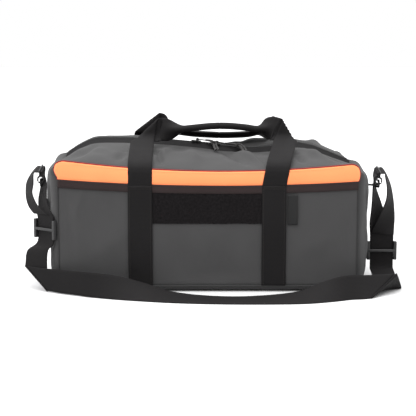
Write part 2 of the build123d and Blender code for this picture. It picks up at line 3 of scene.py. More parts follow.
import bmesh
import bpy
import numpy as np
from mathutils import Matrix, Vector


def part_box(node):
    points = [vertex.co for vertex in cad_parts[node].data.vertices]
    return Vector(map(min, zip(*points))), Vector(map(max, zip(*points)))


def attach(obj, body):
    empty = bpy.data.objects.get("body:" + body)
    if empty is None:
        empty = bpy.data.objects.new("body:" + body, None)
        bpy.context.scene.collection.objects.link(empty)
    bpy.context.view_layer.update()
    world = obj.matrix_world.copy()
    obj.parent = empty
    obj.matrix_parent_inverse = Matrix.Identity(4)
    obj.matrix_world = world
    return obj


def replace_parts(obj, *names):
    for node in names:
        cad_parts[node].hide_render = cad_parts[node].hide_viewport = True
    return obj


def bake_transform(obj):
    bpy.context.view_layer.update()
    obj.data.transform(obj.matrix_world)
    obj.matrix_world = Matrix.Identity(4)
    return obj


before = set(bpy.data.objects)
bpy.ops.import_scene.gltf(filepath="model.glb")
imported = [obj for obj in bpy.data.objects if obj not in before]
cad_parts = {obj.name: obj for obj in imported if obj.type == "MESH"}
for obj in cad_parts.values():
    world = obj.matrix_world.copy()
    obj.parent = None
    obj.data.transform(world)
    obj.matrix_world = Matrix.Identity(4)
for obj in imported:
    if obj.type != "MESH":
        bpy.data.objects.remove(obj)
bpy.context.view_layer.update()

# Looks of a zipped duffel bag. Shapes are worked out in millimetres in the frame of the
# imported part: +X to the right, the front faces -Y, +Z up, floor at Z = 0.

MM = 0.001
RANDOM = np.random.RandomState(7)
SIDES = ((-1, "front"), (1, "back"))
ENDS = ((-1, "left"), (1, "right"))


def add_object(name, data):
    made = bpy.data.objects.new(name, data)
    bpy.context.scene.collection.objects.link(made)
    return made


# ---- camera and light ----
SENSOR_WIDTH, LENS = 36.0, 94.4
CAMERA_PLACE = (0.0, -1.9005, 0.3903)
CAMERA_TILT = 82.0         # degrees from straight down: it looks slightly down
LAMP_TARGET = (0.0, 0.0, 0.12)


def make_camera():
    data = bpy.data.cameras.new("camera")
    data.sensor_width = SENSOR_WIDTH
    data.lens = LENS
    camera = add_object("camera", data)
    camera.location = CAMERA_PLACE
    camera.rotation_euler = (math.radians(CAMERA_TILT), 0.0, 0.0)
    bpy.context.scene.camera = camera


def soft_box(name, place, size, power):
    """A square lamp that faces the bag."""
    data = bpy.data.lights.new(name, "AREA")
    data.shape = "RECTANGLE"
    data.size = data.size_y = size
    data.energy = power
    lamp = add_object(name, data)
    lamp.location = place
    aim = np.array(LAMP_TARGET) - np.array(place)
    lamp.rotation_euler = (math.atan2(math.hypot(aim[0], aim[1]), -aim[2]), 0.0,
                           math.atan2(aim[0], -aim[1]) + math.pi)


def make_light():
    scene = bpy.context.scene
    scene.view_settings.view_transform = "Standard"
    world = bpy.data.worlds.new("studio")
    world.use_nodes = True
    background = world.node_tree.nodes["Background"].inputs
    background["Color"].default_value = (1.0, 1.0, 1.0, 1.0)
    background["Strength"].default_value = 1.0
    scene.world = world
    overhead = bpy.data.lights.new("overhead", "SUN")
    overhead.energy = 6.0
    overhead.angle = 1.3
    lamp = add_object("overhead", overhead)
    lamp.rotation_euler = (math.radians(6.0), math.radians(-5.0), 0.0)
    soft_box("front_left", (-1.5, -2.2, 1.3), 1.4, 8.0)
    soft_box("left", (-2.6, -0.5, 0.9), 1.2, 16.0)


# ---- materials ----
class Paint:
    """A material under construction: a principled shader and short ways to add nodes."""

    def __init__(self, name, rough, metallic=0.0, sheen=0.0, specular=0.5):
        self.material = bpy.data.materials.new(name)
        self.material.use_nodes = True
        self.tree = self.material.node_tree
        self.shader = self.tree.nodes["Principled BSDF"]
        for socket, value in (("Roughness", rough), ("Metallic", metallic), ("Sheen Weight", sheen),
                              ("Sheen Roughness", 0.5), ("Specular IOR Level", specular)):
            self.shader.inputs[socket].default_value = value
        self.coords = self.tree.nodes.new("ShaderNodeTexCoord")

    def node(self, kind, **values):
        made = self.tree.nodes.new(kind)
        for key, value in values.items():
            if key in made.inputs:
                made.inputs[key].default_value = value
            else:
                setattr(made, key, value)
        return made

    def link(self, source, target):
        self.tree.links.new(source, target)

    def noise(self, space, scale, detail=2.0):
        made = self.node("ShaderNodeTexNoise", Scale=scale, Detail=detail)
        self.link(self.coords.outputs[space], made.inputs["Vector"])
        return made.outputs["Fac"]

    def wave(self, space, axis, period):
        """Fine ridges, one each period in metres."""
        made = self.node("ShaderNodeTexWave", Scale=math.pi / 10 / period, Distortion=0.0,
                         wave_type="BANDS", bands_direction=axis, wave_profile="SIN")
        self.link(self.coords.outputs[space], made.inputs["Vector"])
        return made.outputs["Fac"]

    def maths(self, operation, first, second):
        made = self.node("ShaderNodeMath", operation=operation)
        for socket, value in zip(made.inputs, (first, second)):
            if isinstance(value, (int, float)):
                socket.default_value = value
            else:
                self.link(value, socket)
        return made.outputs["Value"]

    def mix(self, first, second, share):
        """The share of the first and the rest of the second, added."""
        return self.maths("ADD", self.maths("MULTIPLY", first, share),
                          self.maths("MULTIPLY", second, 1 - share))

    def colour(self, factor, dark, light, low=0.3, high=0.7):
        """Base colour from dark to light as factor goes from low to high."""
        ramp = self.tree.nodes.new("ShaderNodeValToRGB")
        ramp.color_ramp.elements[0].position, ramp.color_ramp.elements[1].position = low, high
        ramp.color_ramp.elements[0].color = (*dark, 1.0)
        ramp.color_ramp.elements[1].color = (*light, 1.0)
        self.link(factor, ramp.inputs["Fac"])
        self.link(ramp.outputs["Color"], self.shader.inputs["Base Color"])

    def roughness(self, factor, low, high):
        made = self.node("ShaderNodeMapRange", **{"To Min": low, "To Max": high})
        self.link(factor, made.inputs["Value"])
        self.link(made.outputs["Result"], self.shader.inputs["Roughness"])

    def bump(self, height, distance, strength=0.6):
        made = self.node("ShaderNodeBump", Strength=strength, Distance=distance)
        self.link(height, made.inputs["Height"])
        self.link(made.outputs["Normal"], self.shader.inputs["Normal"])


def shade(colour, factor):
    return tuple(min(c * factor, 1.0) for c in colour)


def cloth(name, colour, period, depth, sheen, rough=0.85, spread=0.10):
    """Plain weave of the given thread period, with uneven dye and fibre."""
    paint = Paint(name, rough, sheen=sheen, specular=0.25)
    weave = paint.maths("MULTIPLY", paint.wave("UV", "X", period), paint.wave("UV", "Y", period))
    fibre = paint.noise("UV", 900.0, 3.0)
    cloudy = paint.noise("UV", 14.0, 4.0)
    paint.colour(paint.mix(fibre, cloudy, 0.4), shade(colour, 1 - spread), shade(colour, 1 + spread))
    paint.roughness(cloudy, rough - 0.06, rough + 0.06)
    paint.bump(paint.maths("ADD", weave, paint.maths("MULTIPLY", fibre, 0.5)), depth)
    return paint.material


def webbing(name, colour, rib=0.0021):
    """Woven tape: ribs along it, a fine pick across it and uneven dye."""
    paint = Paint(name, 0.72, sheen=0.01, specular=0.14)
    ribs = paint.wave("UV", "X", rib)
    picks = paint.wave("UV", "Y", 0.0011)
    fibre = paint.noise("UV", 1400.0, 3.0)
    cloudy = paint.noise("UV", 22.0, 3.0)
    paint.colour(paint.mix(fibre, cloudy, 0.45), shade(colour, 0.82), shade(colour, 1.2))
    paint.roughness(cloudy, 0.62, 0.82)
    paint.bump(paint.maths("ADD", ribs, paint.maths("MULTIPLY", picks, 0.6)), 0.00025)
    return paint.material


def pile(name, colour):
    """Hook-and-loop pile: a mat of tiny loops."""
    paint = Paint(name, 0.95, sheen=0.02, specular=0.1)
    loops = paint.noise("UV", 1500.0, 5.0)
    patches = paint.noise("UV", 240.0, 4.0)
    paint.colour(paint.mix(loops, patches, 0.5), shade(colour, 0.45), shade(colour, 1.7), 0.38, 0.62)
    paint.bump(loops, 0.0012, 0.9)
    return paint.material


def braid(name, colour):
    """Round braided cord."""
    paint = Paint(name, 0.7, sheen=0.2, specular=0.3)
    strands = paint.maths("MULTIPLY", paint.wave("Object", "DIAGONAL", 0.0014),
                          paint.wave("Object", "Z", 0.0011))
    fibre = paint.noise("Object", 1800.0, 3.0)
    paint.colour(paint.mix(strands, fibre, 0.6), shade(colour, 0.55), shade(colour, 1.5), 0.2, 0.7)
    paint.bump(strands, 0.0004, 0.8)
    return paint.material


def hard(name, colour, rough, metallic):
    """Moulded plastic or painted metal with fine grain and faint smudges."""
    paint = Paint(name, rough, metallic=metallic, specular=0.5)
    smudge = paint.noise("Object", 60.0, 4.0)
    fine = paint.noise("Object", 700.0, 3.0)
    paint.colour(paint.mix(smudge, fine, 0.7), shade(colour, 0.8), shade(colour, 1.3))
    paint.roughness(smudge, rough - 0.08, rough + 0.12)
    paint.bump(fine, 0.00006, 0.5)
    return paint.material


GREY = (0.0385, 0.038, 0.0385)
ORANGE = (1.0, 0.25, 0.09)
BLACK = (0.0048, 0.0042, 0.0045)
LOOKS = {
    "grey_cloth": (cloth, GREY, 0.0011, 0.00022, 0.04),
    "orange_cloth": (cloth, ORANGE, 0.0009, 0.00012, 0.25, 0.7, 0.05),
    "red_piping": (cloth, (0.16, 0.012, 0.012), 0.0009, 0.0001, 0.1),
    "binding": (webbing, (0.021, 0.0135, 0.0135), 0.0016),
    "loop_pile": (pile, (0.007, 0.006, 0.0065)),
    "label_cloth": (cloth, (0.004, 0.004, 0.0042), 0.0006, 0.0001, 0.02, 0.6),
    "piping_cord": (cloth, shade(GREY, 0.5), 0.0012, 0.0002, 0.1),
    "zip_tape": (webbing, (0.006, 0.0055, 0.006), 0.0012),
    "zip_coil": (hard, (0.012, 0.012, 0.012), 0.45, 0.0),
    "slider_metal": (hard, (0.008, 0.008, 0.008), 0.38, 0.1),
    "pull_cord": (braid, (0.010, 0.008, 0.0075)),
    "hook_metal": (hard, (0.008, 0.008, 0.009), 0.35, 0.15),
    "adjuster_plastic": (hard, (0.008, 0.008, 0.0085), 0.45, 0.0),
    "webbing": (webbing, BLACK),
    "thread": (webbing, (0.020, 0.018, 0.017), 0.0006),
}
PAINTS = {name: make(name, *look) for name, (make, *look) in LOOKS.items()}


# ---- mesh tools ----
def box_mm(node):
    low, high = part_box(node)
    return np.array(low) * 1000, np.array(high) * 1000


def unit(vector):
    vector = np.asarray(vector, float)
    return vector / (np.linalg.norm(vector, axis=-1, keepdims=True) + 1e-12)


def ease(t):
    t = np.clip(t, 0.0, 1.0)
    return t * t * (3 - 2 * t)


def xyz(x, y, z):
    return np.stack([x, y, z], axis=-1)


def run_along(p):
    """The distance along a line of points, at each of them."""
    return np.concatenate([[0], np.cumsum(np.linalg.norm(np.diff(p, axis=0), axis=1))])


def at_run(s, run, p):
    """The place at distance s along a line of points."""
    return np.array([np.interp(s, run, column) for column in p.T])


def spline(points, per):
    """A smooth line through given points."""
    p = np.asarray(points, float)
    p = np.vstack([2 * p[0] - p[1], p, 2 * p[-1] - p[-2]])
    out = []
    for a, b, c, d in zip(p, p[1:], p[2:], p[3:]):
        for t in np.arange(per) / per:
            out.append(0.5 * (2 * b + (c - a) * t + (2 * a - 5 * b + 4 * c - d) * t**2
                              + (3 * b - a - 3 * c + d) * t**3))
    return np.array(out + [p[-2]])


def slab_parts(grid, thickness, out=(0, -1, 0), rim=0.35):
    """A closed sheet behind a grid of outer points: its vertices, faces and UVs in metres."""
    p = np.asarray(grid, float)
    normal = unit(np.cross(np.gradient(p, axis=0), np.gradient(p, axis=1)))
    if (normal * np.array(out)).sum(axis=2).mean() < 0:
        p, normal = p.transpose(1, 0, 2), -normal.transpose(1, 0, 2)
    rows, cols = p.shape[:2]
    sink = np.zeros((rows, cols, 1))
    sink[[0, -1], :] = rim
    sink[:, [0, -1]] = rim
    verts = np.concatenate([(p - normal * thickness * sink).reshape(-1, 3),
                            (p - normal * thickness * (1 - sink)).reshape(-1, 3)])
    down, over = run_along(p[:, cols // 2]), run_along(p[rows // 2])
    uv = np.stack(np.meshgrid(over, down), axis=2).reshape(-1, 2) * MM
    far = rows * cols
    faces = []
    for i in range(rows - 1):
        for j in range(cols - 1):
            a, b = i * cols + j, (i + 1) * cols + j
            c, d = b + 1, a + 1
            faces += [(a, b, c, d), (far + a, far + d, far + c, far + b)]
    loop = ([i * cols for i in range(rows)] + [(rows - 1) * cols + j for j in range(1, cols)]
            + [i * cols + cols - 1 for i in range(rows - 2, -1, -1)] + list(range(cols - 2, 0, -1)))
    for a, b in zip(loop, loop[1:] + loop[:1]):
        faces.append((b, a, far + a, far + b))
    return verts, faces, np.vstack([uv, uv])


def mesh_piece(name, parts, paint):
    """One object from one or several (vertices, faces, UVs)."""
    verts, faces, uvs, start = [], [], [], 0
    for v, f, uv in parts:
        verts.append(v)
        uvs.append(uv)
        faces += [tuple(i + start for i in face) for face in f]
        start += len(v)
    data = bpy.data.meshes.new(name)
    data.from_pydata((np.vstack(verts) * MM).tolist(), [], faces)
    layer = data.uv_layers.new(name="UVMap")
    index = np.zeros(len(data.loops), np.int32)
    data.loops.foreach_get("vertex_index", index)
    layer.data.foreach_set("uv", np.vstack(uvs)[index].astype(np.float32).ravel())
    data.polygons.foreach_set("use_smooth", [True] * len(faces))
    data.materials.append(PAINTS[paint])
    data.update()
    piece = add_object(name, data)
    return piece


def sheet_piece(name, grid, thickness, paint, out=(0, -1, 0), rim=0.35):
    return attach(mesh_piece(name, [slab_parts(grid, thickness, out, rim)], paint), "root")


def tube_parts(line, radius, sides=10):
    """A round cord along a line of points, with closed ends."""
    p = np.asarray(line, float)
    along = unit(np.gradient(p, axis=0))
    side = unit(np.cross(along[0], (0.31, 0.2, 0.93)))
    rings = []
    for point, direction in zip(p, along):
        side = unit(side - direction * np.dot(side, direction))
        up = np.cross(direction, side)
        turn = np.arange(sides) * 2 * math.pi / sides
        rings.append(point + radius * (np.cos(turn)[:, None] * side + np.sin(turn)[:, None] * up))
    verts = np.vstack(rings)
    faces = []
    for i in range(len(p) - 1):
        for j in range(sides):
            k = (j + 1) % sides
            faces.append((i * sides + j, i * sides + k, (i + 1) * sides + k, (i + 1) * sides + j))
    faces.append(tuple(reversed(range(sides))))
    faces.append(tuple((len(p) - 1) * sides + j for j in range(sides)))
    uv = np.stack([np.tile(np.arange(sides) * 2 * math.pi * radius / sides, len(p)),
                   np.repeat(run_along(p), sides)], axis=1) * MM
    return verts, faces, uv


STITCH_HEIGHT = 0.6


def bead_parts(centre, along, out, size):
    """A small rounded bar: a stitch, or one tooth of a zip."""
    length, width, height = size
    across = unit(np.cross(out, along))
    verts = []
    for reach, swell in ((-0.5, 0.3), (-0.36, 0.85), (0.0, 1.0), (0.36, 0.85), (0.5, 0.3)):
        for k in range(6):
            turn = k * math.pi / 3
            verts.append(centre + along * length * reach
                         + across * math.cos(turn) * width / 2 * swell
                         + out * math.sin(turn) * height / 2 * swell)
    faces = [(i * 6 + k, i * 6 + (k + 1) % 6, (i + 1) * 6 + (k + 1) % 6, (i + 1) * 6 + k)
             for i in range(4) for k in range(6)]
    faces += [(5, 4, 3, 2, 1, 0), (24, 25, 26, 27, 28, 29)]
    uv = np.array(verts)[:, :2] * MM
    return np.array(verts), faces, uv


def stitch_parts(line, out, length=2.7, pitch=3.9, width=0.75):
    """Stitches along a line that lies on a surface facing out."""
    p = np.asarray(line, float)
    run = run_along(p)
    up = unit(np.asarray(out, float))
    parts = []
    for at in np.arange(pitch / 2, run[-1], pitch):
        along = unit(at_run(at + 0.5, run, p) - at_run(at - 0.5, run, p))
        parts.append(bead_parts(at_run(at, run, p), along, up, (length, width, STITCH_HEIGHT)))
    return parts


def stitches(name, rows, paint="thread"):
    piece = mesh_piece(name, [part for row in rows for part in row], paint)
    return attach(piece, "root")


def rounded(name, node, width, paint, body):
    """The shape of a CAD node with softened edges."""
    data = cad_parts[node].data.copy()
    data.name = name
    data.materials.clear()
    data.materials.append(PAINTS[paint])
    mesh = bmesh.new()
    mesh.from_mesh(data)
    bmesh.ops.remove_doubles(mesh, verts=mesh.verts, dist=2e-6)
    bmesh.ops.dissolve_limit(mesh, angle_limit=0.02, verts=mesh.verts, edges=mesh.edges)
    mesh.to_mesh(data)
    mesh.free()
    data.polygons.foreach_set("use_smooth", [True] * len(data.polygons))
    piece = add_object(name, data)
    bevel = piece.modifiers.new("edges", "BEVEL")
    bevel.width = width * MM
    bevel.segments = 3
    bevel.limit_method = "ANGLE"
    bevel.angle_limit = math.radians(35)
    bevel.harden_normals = True
    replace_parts(piece, node)
    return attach(piece, body)


# ---- the bag's form ----
HALF = box_mm("front_panel")[1][0]
FACE = -box_mm("front_panel")[0][1]
SEAM_LOW, SEAM_LOW_X, SEAM_RADIUS = 201.0, 25.0, 2000.0
STRIP_LOW, STRIP_RADIUS = 177.0, 3600.0
BINDING_HEIGHT = 13.0
BASE_SEAM = 9.8            # height of the seam between walls and base
WALL_INSET = 0.6           # of a wall's edges behind the face of the CAD panel
CLOTH = 1.6
CORNER = 13.0              # rounding of the top corners of the walls
ZIP_EDGE = 15.0            # half width of the opening that the zip closes
PEAK_X, PEAK_Z, CROWN_RADIUS = -170.0, 247.0, 1368.0
DIP_X, DIP_Z, DIP_RADIUS = 68.4, 230.0, 348.0
MEET_X = 4.0
LEFT_END = [(-247, 220.6), (-230, 231), (-214, 239.5), (-202, 244.6), (-190, 246.85)]
RIGHT_END = [(146, 238.75), (158, 238.4), (183, 233.5), (207, 224), (247, 207.5)]


def sagging(x, low, radius):
    return low + radius - np.sqrt(radius**2 - (x - SEAM_LOW_X) ** 2)


def seam_z(x):
    return sagging(x, SEAM_LOW, SEAM_RADIUS)


def strip_z(x):
    return sagging(x, STRIP_LOW, STRIP_RADIUS)


def crest_z(x):
    """Height of the zip: a long crown on the left, a dip on the right, and two falling ends."""
    x = np.asarray(x, float)
    crown = PEAK_Z - CROWN_RADIUS + np.sqrt(CROWN_RADIUS**2 - (x - PEAK_X) ** 2)
    dip = DIP_Z + DIP_RADIUS - np.sqrt(np.maximum(DIP_RADIUS**2 - (x - DIP_X) ** 2, 1.0))
    z = np.where(x < MEET_X, crown, dip)
    z = np.where(x < LEFT_END[-1][0], np.interp(x, *zip(*LEFT_END)), z)
    return np.where(x > RIGHT_END[0][0], np.interp(x, *zip(*RIGHT_END)), z)


def top_edge(x):
    """Top seam of the front and back walls, rounded down at its two corners."""
    over = np.clip(np.abs(x) - (HALF - CORNER), 0, CORNER)
    return seam_z(x) - (CORNER - np.sqrt(CORNER**2 - over**2))


def seam_out(x, z):
    """How far the end seams stand out beyond the straight line, near the top corners."""
    left = 5.6 * np.clip(1 - ((z - 206.9) / 15.0) ** 2, 0, 1)
    right = 2.6 * np.clip(1 - ((z - 199.0) / 15.0) ** 2, 0, 1)
    return np.where(x < 0, -left, right) * ease((np.abs(x) / HALF - 0.9) / 0.1)


def ripple(a, b, seed, longest=160.0):
    """Slow uneven waves of about unit height."""
    random = np.random.RandomState(seed)
    total = 0.0
    for k in range(6):
        size = longest / (1 + 0.6 * k)
        turn, phase = random.uniform(0, math.pi), random.uniform(0, 2 * math.pi)
        across = a * math.cos(turn) + b * math.sin(turn)
        total = total + np.sin(across * 2 * math.pi / size + phase) / (1 + 0.5 * k)
    return total / 2.4


def folds(a, b, table):
    """Soft ridges and hollows along short lines: start, end, width, height."""
    total = np.zeros_like(np.asarray(a, float))
    for a0, b0, a1, b1, width, height in table:
        length2 = (a1 - a0) ** 2 + (b1 - b0) ** 2
        t = np.clip(((a - a0) * (a1 - a0) + (b - b0) * (b1 - b0)) / length2, 0, 1)
        gap2 = (a - a0 - t * (a1 - a0)) ** 2 + (b - b0 - t * (b1 - b0)) ** 2
        fade = 0.35 + 0.65 * np.sin(math.pi * np.clip(t, 0.05, 0.95))
        total = total + height * np.exp(-gap2 / width**2) * fade
    return total


FRONT_FOLDS = [(-236, 182, -222, 40, 7, -2), (-205, 176, -222, 120, 6, 1.2), (-60, 22, 60, 30, 14, -1.4),
               (225, 150, 238, 40, 7, -1.8), (150, 60, 210, 95, 16, 1.2), (-190, 60, -140, 95, 16, 1),
               (-150, 12, -122, 30, 9, -1.6)]
BACK_FOLDS = [(-200, 150, -150, 60, 16, 1.6), (60, 40, 150, 80, 18, -1.8), (210, 180, 225, 50, 8, -2),
              (-40, 190, 20, 150, 14, 1.4)]


def wall_out(side, x, z):
    """Distance of a wall's outer face from the middle plane."""
    s = np.clip((z - BASE_SEAM) / (top_edge(x) - BASE_SEAM), 0, 1)
    inside = np.clip(1 - (np.abs(x) / HALF) ** 10, 0, 1) * np.sin(math.pi * s) ** 0.6
    seed, table = (3, FRONT_FOLDS) if side < 0 else (4, BACK_FOLDS)
    loose = 2.6 + 2.0 * ripple(x, z, seed) + 1.5 * folds(x, z, table)
    return FACE - WALL_INSET + inside * loose


def on_wall(side, x, z, lift):
    return xyz(x, side * (wall_out(side, x, z) + lift), z)


def base_seam_z(x):
    """The seam between a wall and the base, a little wavy as the cloth is loose."""
    return BASE_SEAM + 0.7 * ripple(x, x * 0, 11, 220.0) - 1.6 * np.exp(-((x + 112) / 22.0) ** 2)


def closer_ends(start, knee, near, middle, end=1):
    """Steps from start to end that are closer together near both, outside the knees."""
    return np.concatenate([np.linspace(start, knee, near)[:-1],
                           np.linspace(knee, start + end - knee, middle),
                           np.linspace(start + end - knee, end, near)[1:]])


ALONG = closer_ends(-1, -0.93, 12, 124)


def wall_grid(side, low, high, rows, lift):
    """Points on a wall between two heights, each a function of x, over its whole length."""
    x0 = np.repeat((ALONG * HALF)[:, None], len(rows), axis=1)
    t = np.repeat(np.asarray(rows)[None, :], len(ALONG), axis=0)
    z = low(x0) + (high(x0) - low(x0)) * t
    return on_wall(side, x0 + seam_out(x0, z), z, lift(t) + 0 * x0)


TOP_FOLDS = {
    -1: [(-84, 0.55, -78, 0.12, 6, -4.5), (-66, 0.75, -92, 0.15, 7, 2.4), (40, 0.95, 92, 0.10, 7, 3.2),
         (20, 0.9, 60, 0.2, 6, -2.2), (-30, 0.8, -22, 0.2, 10, 1.6), (-190, 0.9, -222, 0.2, 9, -2.6),
         (-215, 0.9, -236, 0.3, 6, 2.4), (165, 0.85, 200, 0.2, 9, 3), (190, 0.95, 226, 0.25, 7, -3.4),
         (150, 0.5, 158, 0.1, 7, -2), (-140, 0.5, -150, 0.1, 8, -2)],
    1: [(-60, 0.5, -40, 0.1, 9, 3), (60, 0.8, 20, 0.2, 8, -2), (180, 0.9, 210, 0.2, 8, 3),
        (-190, 0.8, -220, 0.2, 9, -3), (140, 0.4, 150, 0.1, 7, -2)],
}
FOLD_SPAN = 108.0          # mm from the top seam to the zip, so that folds are round
FRONT_DROP, BACK_LIFT = -6.9, 0.5     # of the top's two edges from the line of the zip


def top_point(side, u, s):
    """A point of the top: u along the bag from -1 to 1, s from the wall's seam to the zip."""
    x0 = HALF * u
    z0, z1 = top_edge(x0), crest_z(x0) + (FRONT_DROP if side < 0 else BACK_LIFT)
    rise = np.clip(s, 0, 1) ** 0.85
    middle = np.clip(1 - np.abs(u) ** 8, 0, 1)
    if side < 0:
        swell = 5.0 * np.sin(math.pi * s**0.7)
    else:
        hump = 3.0 + 12.0 * np.exp(-((x0 - 82) / 52.0) ** 2) + 4.5 * ease((np.abs(x0) - 60) / 60)
        swell = 3.0 * np.sin(math.pi * s**0.7) + hump * np.sin(math.pi * s**2.2)
    inside = np.sin(math.pi * np.clip(s, 0, 1)) ** 0.7 * middle
    table = [(a, b * FOLD_SPAN, c, d * FOLD_SPAN, w, h) for a, b, c, d, w, h in TOP_FOLDS[side]]
    depth = s * FOLD_SPAN
    loose = inside * (2.4 * ripple(x0, depth, 21 + side, 120.0) + 3.2 * folds(x0, depth, table))
    y0 = wall_out(side, x0, z0)
    y = y0 + (ZIP_EDGE - y0) * s
    z = z0 + (z1 - z0) * rise + swell * middle + loose
    x = x0 + seam_out(x0, z0) * (1 - s) ** 2
    return xyz(x, side * y, z)


def top_grid(side):
    s = np.concatenate([[0, 0.012], np.linspace(0.035, 1, 40)])
    u, s = np.meshgrid(ALONG, s, indexing="ij")
    return top_point(side, u, s)


END_FOLDS = {
    -1: [(-100, 182, -84, 130, 8, -5), (-84, 170, -70, 110, 9, 3), (-60, 60, 30, 90, 16, -3),
         (20, 190, 60, 120, 12, -3.5), (-40, 196, 10, 180, 8, 3)],
    1: [(-104, 172, -78, 120, 8, -5), (-96, 120, -88, 40, 8, 3), (-40, 70, 40, 100, 15, -3),
        (30, 180, 70, 110, 12, -3.5), (-60, 150, -20, 175, 9, -3)],
}


LEFT_BULGE, RIGHT_BULGE = 26.0, 27.5


def end_grid(side):
    """A pillowed end wall whose border is the end seams, the base seam and the top's edge."""
    a = np.sign(np.linspace(-1, 1, 61)) * np.abs(np.linspace(-1, 1, 61)) ** 0.85
    b = closer_ends(0, 0.06, 5, 44)
    a, b = np.meshgrid(a, b, indexing="ij")
    reach = wall_out(-1, side * HALF, top_edge(side * HALF))
    s = np.clip((1 - np.abs(a)) / (1 - ZIP_EDGE / reach), 0, 1)
    front, back = top_point(-1, side + 0 * s, s), top_point(1, side + 0 * s, s)
    mix = np.clip((a * reach / ZIP_EDGE + 1) / 2, 0, 1)[..., None]
    edge = front * (1 - mix) + back * mix
    low = base_seam_z(side * HALF + 0 * a)
    z = low + (edge[..., 2] - low) * b
    y = a * reach
    bulge = LEFT_BULGE if side < 0 else RIGHT_BULGE
    full = (np.clip(1 - np.abs(a) ** 3.4, 0, 1) ** 0.6
            * np.clip(1 - np.abs(2 * b - 1) ** 10, 0, 1) ** 0.5)
    lean = 0.86 + 0.14 * np.exp(-((z - 182) / 60.0) ** 2)
    loose = 1.8 * ripple(y, z, 31 + side, 110.0) + 1.3 * folds(y, z, END_FOLDS[side])
    seam = np.abs(seam_out(side * HALF + 0 * z, z)) * np.abs(a) ** 8
    top_x = (np.abs(edge[..., 0]) - HALF - seam * (np.abs(a) > 0.999)) * b**12 * (np.abs(a) < 0.999)
    x = HALF + seam + top_x + full * (bulge * lean + loose)
    return xyz(side * x, y, z)


BASE_RADIUS = 9.0
BASE_FACE = 1.1            # height of the base's flat face


def base_grid():
    """The base: flat on the floor, turned up to the walls all round."""
    turn = np.linspace(0, math.pi / 2, 6)

    def ladder(half, middle):
        inward = BASE_RADIUS * (1 - np.cos(turn))
        left = -half + inward
        return np.concatenate([left, np.linspace(left[-1], -left[-1], middle)[1:-1], -left[::-1]])

    def height(count):
        rim = 1 - np.sin(turn)
        return np.concatenate([rim, np.zeros(count - 2), rim[::-1]])

    xs, ys = ladder(HALF, 90), ladder(FACE - WALL_INSET, 40)
    rise = np.maximum(height(90)[:, None], height(40)[None, :])
    x, y = np.meshgrid(xs, ys, indexing="ij")
    z = BASE_FACE + (base_seam_z(x) - BASE_FACE) * rise
    return xyz(x, y, z)


def make_shell():
    rows = np.concatenate([[0, 0.012], np.linspace(0.035, 0.97, 44), [0.99, 1]])
    panels = [(f"{wall}_panel", wall_grid(side, base_seam_z, top_edge, rows, lambda t: 0 * t),
               (0, side, 0)) for side, wall in SIDES]
    panels += [(f"top_{wall}_panel", top_grid(side), (0, 0, 1)) for side, wall in SIDES]
    panels += [(f"{end}_end_panel", end_grid(side), (side, 0, 0)) for side, end in ENDS]
    for node, grid, out in panels:
        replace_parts(sheet_piece(f"{node}_cloth", grid, CLOTH, "grey_cloth", out), node)
    base = sheet_piece("base_panel_cloth", base_grid(), CLOTH, "grey_cloth", (0, 0, -1), rim=0.2)
    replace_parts(base, "base_panel")


# ---- facings and seams ----
def make_facings():
    rows = np.concatenate([[0, 0.04], np.linspace(0.1, 0.9, 11), [0.96, 1]])
    grid = wall_grid(-1, strip_z, top_edge, rows, lambda t: 1.2 + 1.8 * np.sin(math.pi * t) ** 0.6)
    strip = sheet_piece("hi_vis_strip_cloth", grid, 1.2, "orange_cloth")
    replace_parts(strip, "hi_vis_strip")
    grid = wall_grid(-1, lambda x: strip_z(x) - BINDING_HEIGHT, lambda x: strip_z(x) + 0.6,
                     [0, 0.06, 0.3, 0.6, 0.94, 1], lambda t: 2.2 + 0 * t)
    binding = sheet_piece("strip_binding_tape", grid, 1.4, "binding")
    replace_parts(binding, "strip_binding")

    low, high = box_mm("loop_field")
    x, t = np.meshgrid(np.linspace(low[0], high[0], 260), np.linspace(0, 1, 76), indexing="ij")
    z = low[2] + (strip_z(x) - BINDING_HEIGHT - 0.4 - low[2]) * t
    nap = RANDOM.uniform(-0.45, 0.45, x.shape)
    nap[[0, -1], :] = 0
    nap[:, [0, -1]] = 0
    field = sheet_piece("loop_field_pile", on_wall(-1, x, z, 1.7 + nap), 1.5, "loop_pile", rim=0.2)
    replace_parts(field, "loop_field")

    low, high = box_mm("side_label")

    def curl(x, z):
        across = (x - low[0]) / (high[0] - low[0])
        return 2.4 + 2.2 * across**2 + 0.8 * np.sin((z - low[2]) / 15.0)

    x, z = np.meshgrid(np.linspace(low[0], high[0], 14), np.linspace(low[2], high[2] + 3, 30),
                       indexing="ij")
    label = sheet_piece("side_label_cloth", on_wall(-1, x, z, curl(x, z)), 0.9, "label_cloth")
    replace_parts(label, "side_label")
    edge = []
    for at in (high[0] - 1.5, low[0] + 1.8):
        zs = np.linspace(low[2] + 1.5, high[2] - 1.0, 24)
        line = on_wall(-1, at + 0 * zs, zs, curl(at, zs) + 0.05)
        edge.append(stitch_parts(line, (0, -1, 0), 1.6, 2.4, 0.5))
    stitches("label_stitches", edge)

    xs = np.linspace(-HALF + 2, HALF - 2, 130)
    tape = [stitch_parts(on_wall(-1, xs, strip_z(xs) + shift, 2.3 + 0 * xs), (0, -1, 0), 2.4, 3.6)
            for shift in (-2.0, 2.4 - BINDING_HEIGHT)]
    stitches("binding_stitches", tape)
    inner = xs[6:-6]
    hem = [stitch_parts(on_wall(-1, x, z, 2.6 + 0 * x), (0, -1, 0), 2.4, 3.6, 0.6)
           for x, z in ((xs, strip_z(xs) + 3.2), (inner, top_edge(inner) - 3.2))]
    stitches("strip_stitches", hem, "orange_cloth")


SEAM_CORD_RADIUS, PIPING_RADIUS = 1.1, 1.8


def seam_cord(name, line, radius, paint="piping_cord"):
    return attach(mesh_piece(name, [tube_parts(line, radius)], paint), "root")


